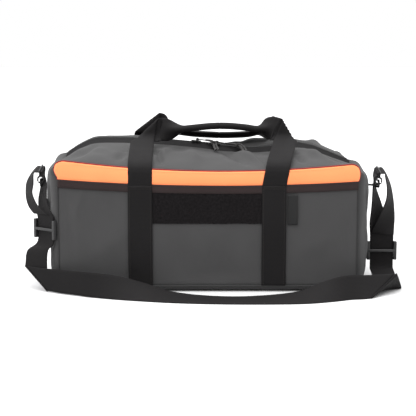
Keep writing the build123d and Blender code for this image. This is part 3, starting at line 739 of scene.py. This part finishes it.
def make_seams():
    x = ALONG * HALF
    for side, name in SIDES:
        z = base_seam_z(x)
        line = xyz(x, side * (wall_out(side, x, z) + 1.4), z)
        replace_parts(seam_cord(f"{name}_piping_cord", line, PIPING_RADIUS), f"{name}_piping")
        edge = top_edge(x)
        line = xyz(x + seam_out(x, edge), side * (wall_out(side, x, edge) + 0.7), edge + 0.4)
        paint = "red_piping" if side < 0 else "piping_cord"
        seam_cord(f"{name}_top_seam", line, SEAM_CORD_RADIUS, paint)
        for sign, end in ENDS:
            corner = sign * HALF
            split = strip_z(corner)
            for part, low, high, count, lift, look in (
                    ("seam", BASE_SEAM, split, 40, 0.5, "piping_cord"),
                    ("corner_seam", split, top_edge(corner), 14, 0.7, paint)):
                zs = np.linspace(low, high, count)
                xs = corner + seam_out(corner + 0 * zs, zs)
                line = xyz(xs + sign * 0.3, side * (wall_out(side, xs, zs) + lift), zs)
                seam_cord(f"{name}_{end}_{part}", line, SEAM_CORD_RADIUS, look)


# ---- zip ----
TOOTH_PITCH = 2.3
TOOTH_SIZE = (3.6, 1.5, 2.2)
COIL_HALF = 1.75           # from the zip's middle to the middle of a row of teeth
OUTER_STITCH = 0.965       # place of the outer stitches on the top, 1 being its edge at the zip


def tape_z(side, x, y):
    """Height of a zip tape; the front one falls away towards the viewer."""
    fall = 8.4 * (np.maximum(y - 2.4, 0) / 12.6) ** 1.15 if side < 0 else 0.9 * (y / 15.0) ** 2
    return crest_z(x) + 0.3 - fall + 0.5 * np.exp(-((y - 3.2) / 1.4) ** 2)


def make_zip():
    x = np.linspace(-HALF + 1, HALF - 1, 220)
    for side, name in SIDES:
        y = np.array([19.0, 17.5, 14.5, 11.5, 8.5, 6.0, 3.8, 2.4])
        gx, gy = np.meshgrid(x, y, indexing="ij")
        grid = xyz(gx, side * gy, tape_z(side, gx, gy))
        tape = sheet_piece(f"zip_tape_{name}_cloth", grid, 0.8, "zip_tape", (0, 0, 1))
        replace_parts(tape, f"zip_tape_{name}")
        start = -HALF + 4 + (TOOTH_PITCH / 2 if side > 0 else 0)
        teeth = []
        for at in np.arange(start, HALF - 4, TOOTH_PITCH):
            slope = float(crest_z(at + 1) - crest_z(at - 1)) / 2
            up = unit(np.array([-slope, 0, 1.0]))
            centre = np.array([at, side * COIL_HALF, float(crest_z(at)) + 0.7])
            teeth.append(bead_parts(centre, np.array([0, float(side), 0]), up, TOOTH_SIZE))
        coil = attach(mesh_piece(f"zip_teeth_{name}_coil", teeth, "zip_coil"), "root")
        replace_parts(coil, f"zip_teeth_{name}")
        line = xyz(x, side * 6.4 + 0 * x, tape_z(side, x, 6.4 + 0 * x) + 0.1)
        inner = stitch_parts(line, (0, 0, 1), 2.2, 3.4, 0.6)
        edge = top_point(side, x / HALF, OUTER_STITCH + 0 * x) + (0, 0, 0.1)
        outer = stitch_parts(edge, (0, 0, 1), 2.6, 4.0, 0.7)
        stitches(f"zip_{name}_stitches", [inner, outer])


PULL_CORDS = {
    "left": {"a": [(-4.2, 1.6, 242.9), (2.4, 0.6, 242.8), (9, -6, 241.4), (13.6, -16, 237.6),
                   (15, -29.5, 233.4), (18, -43, 229.6)],
             "b": [(-4.2, -1.6, 242.9), (1.4, -3.6, 242.6), (6.4, -9.4, 241), (9.8, -18.4, 237.2),
                   (10.6, -31.5, 233), (13, -45, 229.2)]},
    "right": {"a": [(30, 1.6, 237.3), (40, 1.2, 236.3), (50, -3.4, 235.6), (58.6, -12.4, 234.8),
                    (63.6, -25.5, 231), (66, -39.5, 227.6)],
              "b": [(30, -1.6, 237.3), (39.4, -2.8, 236.3), (48, -8, 235.6), (55, -16.8, 234.6),
                    (59, -29, 230.6), (61, -42.5, 227)]},
}
CORD_DIAMETER = 3.2


def smooth_cord(name, points):
    curve = bpy.data.curves.new(name, "CURVE")
    curve.dimensions = "3D"
    curve.bevel_depth = CORD_DIAMETER / 2 * MM
    curve.bevel_resolution = 3
    curve.resolution_u = 8
    curve.use_fill_caps = True
    line = curve.splines.new("NURBS")
    line.points.add(len(points) - 1)
    for point, place in zip(line.points, points):
        point.co = (*(c * MM for c in place), 1.0)
    line.order_u = 3
    line.use_endpoint_u = True
    curve.materials.append(PAINTS["pull_cord"])
    return add_object(name, curve)


def cord_length(piece):
    """Length of a cord's own centreline, in metres."""
    bare = piece.copy()
    bare.data = piece.data.copy()
    bare.data.bevel_depth = 0.0
    bpy.context.scene.collection.objects.link(bare)
    bpy.context.view_layer.update()
    graph = bpy.context.evaluated_depsgraph_get()
    mesh = bpy.data.meshes.new_from_object(bare.evaluated_get(graph))
    co = np.array([v.co for v in mesh.vertices])
    bpy.data.objects.remove(bare)
    return float(np.linalg.norm(np.diff(co, axis=0), axis=1).sum())


def knot_piece(name, centre):
    """Two cords tied together: a cord wound into a tight knot."""
    t = np.linspace(0, 2 * math.pi, 121)[:-1]
    ring = 2.7 + 1.5 * np.cos(3 * t)
    line = xyz(ring * np.cos(2 * t), ring * np.sin(2 * t), 2.0 * np.sin(3 * t)) + centre
    return mesh_piece(name, [tube_parts(np.vstack([line, line[:2]]), 1.6, 8)], "pull_cord")


def make_pulls():
    for side, strands in PULL_CORDS.items():
        body = f"{side}_pull"
        rounded(f"{side}_slider_body", f"{side}_slider", 0.4, "slider_metal", f"{side}_slider")
        rounded(f"{side}_tab_body", f"{side}_pull_tab", 0.35, "slider_metal", body)
        low, high = box_mm(f"{side}_pull_knot")
        knot = knot_piece(f"{side}_pull_knot_cord", (low + high) / 2)
        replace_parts(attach(knot, body), f"{side}_pull_knot")
        for strand, points in strands.items():
            piece = smooth_cord(f"{side}_pull_cord_{strand}_braid", points)
            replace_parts(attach(piece, body), f"{side}_pull_cord_{strand}")
            cord_length(piece)


# ---- sewn straps and carry handles ----
WIDTH = 40.0
TAPE = 1.8
SEWN_LIFT = 3.6
STITCH_LIFT = SEWN_LIFT + 0.1
ACROSS = np.array([-1, -0.95, -0.8, -0.55, -0.28, 0, 0.28, 0.55, 0.8, 0.95, 1]) * WIDTH / 2
STITCH_Z = box_mm("front_left_strap")[1][2]


def make_sewn_straps():
    for side, wall in SIDES:
        rows = []
        out = (0, side, 0)
        for end in ("left", "right"):
            low, high = box_mm(f"{wall}_{end}_strap")
            centre = (low[0] + high[0]) / 2
            w, z = np.meshgrid(ACROSS, np.linspace(low[2] - 1, STITCH_Z + 1, 60), indexing="ij")
            strap = sheet_piece(f"{wall}_{end}_strap_tape", on_wall(side, centre + w, z, SEWN_LIFT),
                                TAPE, "webbing", out)
            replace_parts(strap, f"{wall}_{end}_strap")
            for shift in (-17.2, 17.2):
                zs = np.linspace(low[2] + 1, STITCH_Z - 3, 50)
                line = on_wall(side, centre + shift + 0 * zs, zs, STITCH_LIFT)
                rows.append(stitch_parts(line, out))
            for drop in (1.5, 4.6):
                xs = np.linspace(centre - 17.5, centre + 17.5, 12)
                line = on_wall(side, xs, STITCH_Z - drop + 0 * xs, STITCH_LIFT)
                rows.append(stitch_parts(line, out, 2.2, 2.8))
        stitches(f"{wall}_strap_stitches", rows)


# a leg's outer face, from its stitching over the edge of the top: distance from the
# middle plane and height; above the last point it stands upright
LEG_PATH = [(125.6, 168), (126, 178.5), (126.2, 194), (125.2, 203), (121.8, 211),
            (115, 217.8), (103, 224), (86, 230.8), (66, 238.4), (50, 246.4),
            (42.5, 251.6), (39.4, 256.4), (38.7, 262)]
FOLD_RADIUS = 2.6
CREASE_RADIUS = 4.0
GRIP_Y = 32.5
GRIP_CLOSED = 1.62         # radians that each half of the grip is folded back
HORN = 44.0                # mm over which the flat strip closes, unless a leg gives its own
LEG_STEP = 1.6             # between rows of points along a leg


class Leg:
    """One end of a carry handle: a strip that rises, folds over its own corner and closes."""

    def __init__(self, side, centre, corner, tip, lean, grip, horn=HORN):
        self.side, self.centre, self.lean, self.horn = side, centre, lean, horn
        self.path = spline(LEG_PATH, 10)
        run = run_along(self.path)
        self.run = run + LEG_PATH[-1][1] - run[-1]     # equal to the height where it is upright
        self.corner = np.array(corner)
        self.line = line = unit(np.array(tip) - self.corner)
        self.past = np.array([-line[1], line[0]]) if line[0] > 0 else np.array([line[1], -line[0]])
        self.grip = [np.array([x, side * GRIP_Y, z]) for x, z in grip]

    def on_path(self, s):
        """Distance from the middle plane, height and the way back, at a place along the leg."""
        if s >= self.run[-1]:
            return np.array([self.path[-1][0], s]), np.array([-1.0, 0.0])
        t = unit(at_run(s + 0.8, self.run, self.path) - at_run(s - 0.8, self.run, self.path))
        return at_run(s, self.run, self.path), np.array([-t[1], t[0]])

    def flat(self, s, w):
        """Place on the leg's surface of a point of the strip, before the fold."""
        return np.array([self.centre + w + np.interp(s, *zip(*self.lean)), s])

    def folded(self, s):
        """Whether the whole width has gone round the fold at a place along the leg."""
        gone = min(np.dot(self.flat(s, w) - self.corner, self.past) for w in ACROSS)
        return gone + FOLD_RADIUS > math.pi * FOLD_RADIUS

    def point(self, s, w):
        """Place of a point of the strip once it is folded over its corner."""
        q = self.flat(s, w)
        d = np.dot(q - self.corner, self.past) + FOLD_RADIUS
        behind = 0.0
        if d > 0:
            turn = min(d / FOLD_RADIUS, math.pi)
            reach = -FOLD_RADIUS + FOLD_RADIUS * math.sin(turn) - max(d - math.pi * FOLD_RADIUS, 0)
            q = self.corner + self.line * np.dot(q - self.corner, self.line) + self.past * reach
            behind = FOLD_RADIUS * (1 - math.cos(turn))
        at, back = self.on_path(q[1])
        at = at + back * behind
        return np.array([q[0], self.side * at[0], at[1]])

    def grid(self):
        """Rows of points across the strip, from its stitching to the middle of the grip."""
        start = np.interp(LEG_PATH[1][1] - 2, self.path[:, 1], self.run)
        full = self.corner[1]
        while not self.folded(full):
            full += LEG_STEP
        rows = [[self.point(s, w) for w in ACROSS] for s in np.arange(start, full, LEG_STEP)]
        last = np.array(rows[-1])
        first_along = unit(last.mean(axis=0) - np.array(rows[-4]).mean(axis=0))
        up = unit(last[-1] - last[0])
        origin = last[len(ACROSS) // 2]
        knots = [origin, origin + first_along * 7] + self.grip
        line = spline(knots, 12)[1:]
        gone = run_along(line)
        along = unit(np.gradient(line, axis=0))
        inward = np.array([0.0, -self.side, 0.0])
        for place, t, far in zip(line, along, gone):
            n = unit(up - t * np.dot(up, t))
            b = np.cross(t, n)
            b = b if np.dot(b, inward) > 0 else -b
            level = unit(np.cross(t, inward))
            level = level if np.dot(level, n) > 0 else -level
            mix = ease(far / self.horn)
            n = unit(n * (1 - mix) + level * mix)
            b = unit(b * (1 - mix) + inward * mix)
            phi = GRIP_CLOSED * mix + 0.02
            row = []
            for w in ACROSS:
                a, sign = abs(w), (1 if w > 0 else -1)
                arc = min(a, phi * CREASE_RADIUS)
                turn = arc / CREASE_RADIUS
                rise = CREASE_RADIUS * math.sin(turn) + (a - arc) * math.cos(phi)
                deep = CREASE_RADIUS * (1 - math.cos(turn)) + (a - arc) * math.sin(phi)
                row.append(place + n * sign * rise + b * deep)
            rows.append(row)
        return np.array(rows)


FRONT_LEGS = [
    ("left", Leg(-1, -111.6, (-128.9, 243.8), (-86.5, 281.9), [(245, 0), (330, 10.2)],
                 [(-52, 263.5), (-30, 265.5), (0, 268.6), (20.5, 269.6)])),
    ("right", Leg(-1, 108.6, (151, 243.2), (127.5, 281.5),
                  [(125, 0), (241, 22.4), (281.5, 39.4), (330, 59.8)],
                  [(84, 264), (66, 266.5), (40, 269), (19.5, 269.6)], 30)),
]
BACK_LEGS = [
    ("left", Leg(1, -111.6, (-130.5, 255.5), (-92, 284.5), [(245, 0), (330, 6.8)],
                 [(-60, 258), (-44, 254.5), (-20, 251.8), (20.5, 249.6)], 24)),
    ("right", Leg(1, 108.6, (147, 250), (118.5, 282),
                  [(125, 0), (250, 18.4), (282, 29.9), (330, 47)],
                  [(80, 253.5), (64, 251), (40, 249.9), (19.5, 249.6)], 30)),
]


def make_handles():
    for wall, side, legs in (("front", -1, FRONT_LEGS), ("back", 1, BACK_LEGS)):
        for end, leg in legs:
            parts = [slab_parts(leg.grid(), TAPE, (0, side, 0.2))]
            piece = mesh_piece(f"{wall}_handle_{end}_tape", parts, "webbing")
            nodes = [f"{wall}_handle_{end}_leg"] + ([f"{wall}_handle_grip"] if end == "left" else [])
            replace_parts(piece, *nodes)
            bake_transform(piece)


# ---- shoulder strap ----
# A station of the strap is its two edge points. Where they are level it is given as its middle
# point and the direction across it, as x and y.
LEFT_STRAIGHT, RIGHT_STRAIGHT = 21.0, 24.0     # half of the straight stretch at each slide
LEFT_ADJUSTER, LEFT_TURN = (-271, -108, 103), (-0.755, 0.656)
RIGHT_ADJUSTER = (299, -50, 56.5)
LEFT_FOLD = ((-266.6, -126, 1.2), (-307, -103, 40))
RIGHT_FOLD = ((263, -178, 1.2), (311, -135, 33))
# x and y of the edge on the floor; x, y and height of the upper edge
FLOOR_RUN = [
    (-256, -133, -280, -120, 39.5), (-244.6, -141, -250, -134, 40), (-215, -157, -216, -152, 40.5),
    (-192, -169, -189, -161, 40), (-150, -185, -148, -166, 36), (-109, -197, -106, -165, 25),
    (-60, -209, -58, -170.5, 11.5), (0, -217, 1, -177.5, 6), (70, -220, 70, -180.5, 6),
    (145, -217, 143, -180.5, 13.5), (190, -205, 186, -176, 28.5), (228, -188, 221, -171, 37),
    (248, -183, 262, -155, 35),
]
LEFT_RISE = [
    (-267.8, -104.3, 100, *LEFT_TURN), (-267.8, -104.3, 122, *LEFT_TURN), (-273.5, -90, 133, -0.62, 0.78),
    (-279, -70, 146, -0.5, 0.86), (-280.5, -52, 158, -0.42, 0.9), (-281, -39, 170, -0.36, 0.93),
    (-280.2, -32, 182, -0.2, 0.98),
]
LEFT_FALL = [
    (-303.5, -31, 186.5, -0.22, 0.97), (-307, -36, 172, -0.42, 0.9), (-307.5, -46, 158, -0.42, 0.9),
    (-302, -62, 145, -0.52, 0.85), (-293, -80, 135, -0.62, 0.78), (-282, -96, 128, -0.7, 0.71),
]
LEFT_FOOT = [((-266.5, -120, 64), (-303, -100.5, 66)), LEFT_FOLD]
RIGHT_RISE = [
    (299, -45.1, 52, 1, 0), (299, -45.1, 80, 1, 0), (296.5, -45.6, 93, 0.96, 0.28),
    (293, -46.5, 106, 0.86, 0.5), (290.5, -44, 123, 0.68, 0.73), (288.5, -40, 140, 0.5, 0.87),
    (286, -37, 157, 0.32, 0.95), (284.5, -36, 171, 0.2, 0.98), (285.2, -32.5, 183, 0.08, 0.99),
]
RIGHT_FALL = [
    (307.5, -31.5, 184, 0.2, 0.98), (312, -36, 167, 0.3, 0.95), (313, -42, 148, 0.42, 0.91),
    (310.5, -46, 130, 0.62, 0.78), (306.5, -49, 112, 0.82, 0.57), (302, -50, 96, 0.95, 0.3),
    (299.6, -50.2, 86, 1, 0.04),
]
RIGHT_FOOT = [((279, -60, 24), (319, -58, 25)), ((285, -84, 7), (324, -78, 8)),
              ((290, -106, 1.6), (326, -98, 2)), ((276, -142, 1.4), (319, -116, 17)),
              RIGHT_FOLD]
RING_WIRE = 1.7
EYE_REACH = 20.0
EYE_DROOP = 0.16           # radians that the eye hangs towards the front
EYE_ACROSS = (0.0, math.cos(EYE_DROOP), math.sin(EYE_DROOP))
JAW_FORWARD, JAW_ABOVE_BAR = 5.4, 10.6
STRAP_LOWEST = TAPE / 2 + 0.85     # least height of a point of the strap's grid
CREASE_TUBE = 0.95         # radius of the rounded fold where two runs meet


def ends_of(centre, direction):
    half = unit(direction) * WIDTH / 2
    return np.array(centre) - half, np.array(centre) + half


def level(x, y, z, along_x, along_y):
    """A station whose two edges are at the same height."""
    return ends_of((x, y, z), (along_x, along_y, 0))


def jaw_centre(side):
    low, high = box_mm(f"{side}_d_ring")
    return np.array([(low[0] + high[0]) / 2, low[1] + RING_WIRE + JAW_FORWARD,
                     low[2] + RING_WIRE + JAW_ABOVE_BAR])


def round_the_eye(side, sign):
    """Where the strap passes through a hook's eye, from the bag's side outwards."""
    origin = jaw_centre(side)
    stations = []
    for out, rise in ((-5.2, 6.2), (-3.6, 1.8), (3.0, 1.8), (9.5, 2.2)):
        stations.append(ends_of(origin + (sign * out, 0, EYE_REACH - rise), EYE_ACROSS))
    return stations


def strap_runs():
    """The strap in three runs: its left loop, the run along the floor and its right loop."""
    runs = []
    for side, sign, rise, fall, slide, across, straight, foot in (
            ("left", -1, LEFT_RISE, LEFT_FALL, LEFT_ADJUSTER, LEFT_TURN, LEFT_STRAIGHT, LEFT_FOOT),
            ("right", 1, RIGHT_RISE, RIGHT_FALL, RIGHT_ADJUSTER, (1, 0), RIGHT_STRAIGHT,
             RIGHT_FOOT)):
        at_slide = [level(*slide[:2], slide[2] + z, *across) for z in (straight, -straight)]
        runs.append([level(*s) for s in rise] + round_the_eye(side, sign)
                    + [level(*s) for s in fall] + at_slide + foot)
    floor = [((x0, y0, 1), (x1, y1, z1)) for x0, y0, x1, y1, z1 in FLOOR_RUN]
    return runs[0], [LEFT_FOLD] + floor + [RIGHT_FOLD], runs[1]


def strap_grid(stations):
    low = spline([s[0] for s in stations], 7)
    high = spline([s[1] for s in stations], 7)
    share = (ACROSS + WIDTH / 2) / WIDTH
    grid = low[:, None, :] + (high - low)[:, None, :] * share[None, :, None]
    grid[..., 2] = np.maximum(grid[..., 2], STRAP_LOWEST)
    return grid


def make_shoulder_strap():
    parts = [slab_parts(strap_grid(run), TAPE) for run in strap_runs()]
    for low, high in (LEFT_FOLD, RIGHT_FOLD):
        parts.append(tube_parts(np.linspace(low, high, 8), CREASE_TUBE, 8))
    strap = mesh_piece("shoulder_strap_tape", parts, "webbing")
    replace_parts(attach(strap, "root"), "shoulder_strap")


# ---- rings, hooks and slides ----
def wire_loop(centre, half_y, half_z, radius):
    """A closed wire bent to a rounded rectangle in the plane of Y and Z."""
    turn = np.linspace(0, 2 * math.pi, 73)[:-1]
    corner = min(half_y, half_z) * 0.9
    y = np.sign(np.cos(turn)) * (half_y - corner) + corner * np.cos(turn)
    z = np.sign(np.sin(turn)) * (half_z - corner) + corner * np.sin(turn)
    _, c, s = EYE_ACROSS
    line = xyz(centre[0] + 0 * y, centre[1] + y * c - z * s, centre[2] + z * c + y * s)
    return tube_parts(np.vstack([line, line[:2]]), radius, 12)


def block_mesh(name, blocks, place, turn, width, paint):
    """Boxes with rounded edges, joined as one moulded piece."""
    made = bmesh.new()
    for centre, size in blocks:
        for vert in bmesh.ops.create_cube(made, size=1.0)["verts"]:
            vert.co = [(c + v * d) * MM for c, v, d in zip(centre, vert.co, size)]
    data = bpy.data.meshes.new(name)
    made.to_mesh(data)
    made.free()
    data.materials.append(PAINTS[paint])
    piece = add_object(name, data)
    piece.location = [c * MM for c in place]
    piece.rotation_euler = (0.0, 0.0, math.radians(turn))
    soft = piece.modifiers.new("soft_edges", "BEVEL")
    soft.width, soft.segments, soft.limit_method = width * MM, 3, "NONE"
    data.polygons.foreach_set("use_smooth", [True] * len(data.polygons))
    return piece


TAB_ROOT = 266.0           # distance from the middle at which the ring's tab is sewn on


def make_ring_tab(side):
    """Webbing folded round the ring's bar and sewn flat against the end of the bag."""
    low, high = box_mm(f"{side}_ring_tab")
    sign = -1 if side == "left" else 1
    ring_low, ring_high = box_mm(f"{side}_d_ring")
    bar, z = abs(ring_low[0] + ring_high[0]) / 2, ring_low[2] + RING_WIRE
    path = spline([(TAB_ROOT, 2.6), (bar - 10, 1.8), (bar - 4, 2.4), (bar, 3.1), (bar + 3.1, 0.0),
                   (bar, -3.1), (bar - 4, -1.6), (bar - 10, 0.0), (TAB_ROOT, 0.6)], 6)
    ys = np.linspace(low[1], high[1], 9)
    grid = np.array([[(sign * x, y, z + up) for y in ys] for x, up in path])
    tab = mesh_piece(f"{side}_ring_tab_tape", [slab_parts(grid, 1.5, (0, 0, 1))], "webbing")
    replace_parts(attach(tab, "root"), f"{side}_ring_tab")


SLIDE_BLOCKS = [((-22.9, 0, 0), (5.4, 7, 32)), ((22.9, 0, 0), (5.4, 7, 32)),
                ((0, 2.5, 14), (46, 2.2, 4.4)), ((0, 2.5, -14), (46, 2.2, 4.4)),
                ((0, -2.7, 0), (46, 2.4, 4.8))]


def make_hardware():
    for side, turn in (("left", -41.0), ("right", 0.0)):
        for piece, node, width, body in (("ring_wire", "d_ring", 0.4, "ring"),
                                         ("hook_body", "swivel_hook", 0.7, "hook"),
                                         ("gate_bar", "gate", 0.3, "gate")):
            rounded(f"{side}_{piece}", f"{side}_{node}", width, "hook_metal", f"{side}_{body}")
        make_ring_tab(side)
        jaw = jaw_centre(side)
        collar = np.array([jaw + (0, 0, z) for z in (9.8, 10.4, 13.2, 13.8)])
        eye = [wire_loop(jaw + (0, 0, EYE_REACH - 2.1), 21.4, 2.2, 1.0), tube_parts(collar, 3.2, 16)]
        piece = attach(mesh_piece(f"{side}_eye_wire", eye, "hook_metal"), "root")
        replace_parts(piece, f"{side}_hook_eye")
        low, high = box_mm(f"{side}_adjuster")
        slide = block_mesh(f"{side}_slide", SLIDE_BLOCKS, (low + high) / 2, turn, 1.1,
                           "adjuster_plastic")
        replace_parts(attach(slide, f"{side}_adjuster"), f"{side}_adjuster")


# ---- stage ----
def make_floor():
    paint = Paint("floor", 0.9, specular=0.1)
    paint.colour(paint.noise("Object", 3.0, 2.0), (0.52, 0.52, 0.525), (0.54, 0.54, 0.54))
    data = bpy.data.meshes.new("floor")
    half = 30.0
    data.from_pydata([(-half, -half, 0), (half, -half, 0), (half, half, 0), (-half, half, 0)], [],
                     [(0, 1, 2, 3)])
    data.materials.append(paint.material)
    add_object("floor", data)


make_camera()
make_light()
make_floor()
make_pulls()
make_shell()
make_facings()
make_seams()
make_zip()
make_sewn_straps()
make_handles()
make_shoulder_strap()
make_hardware()
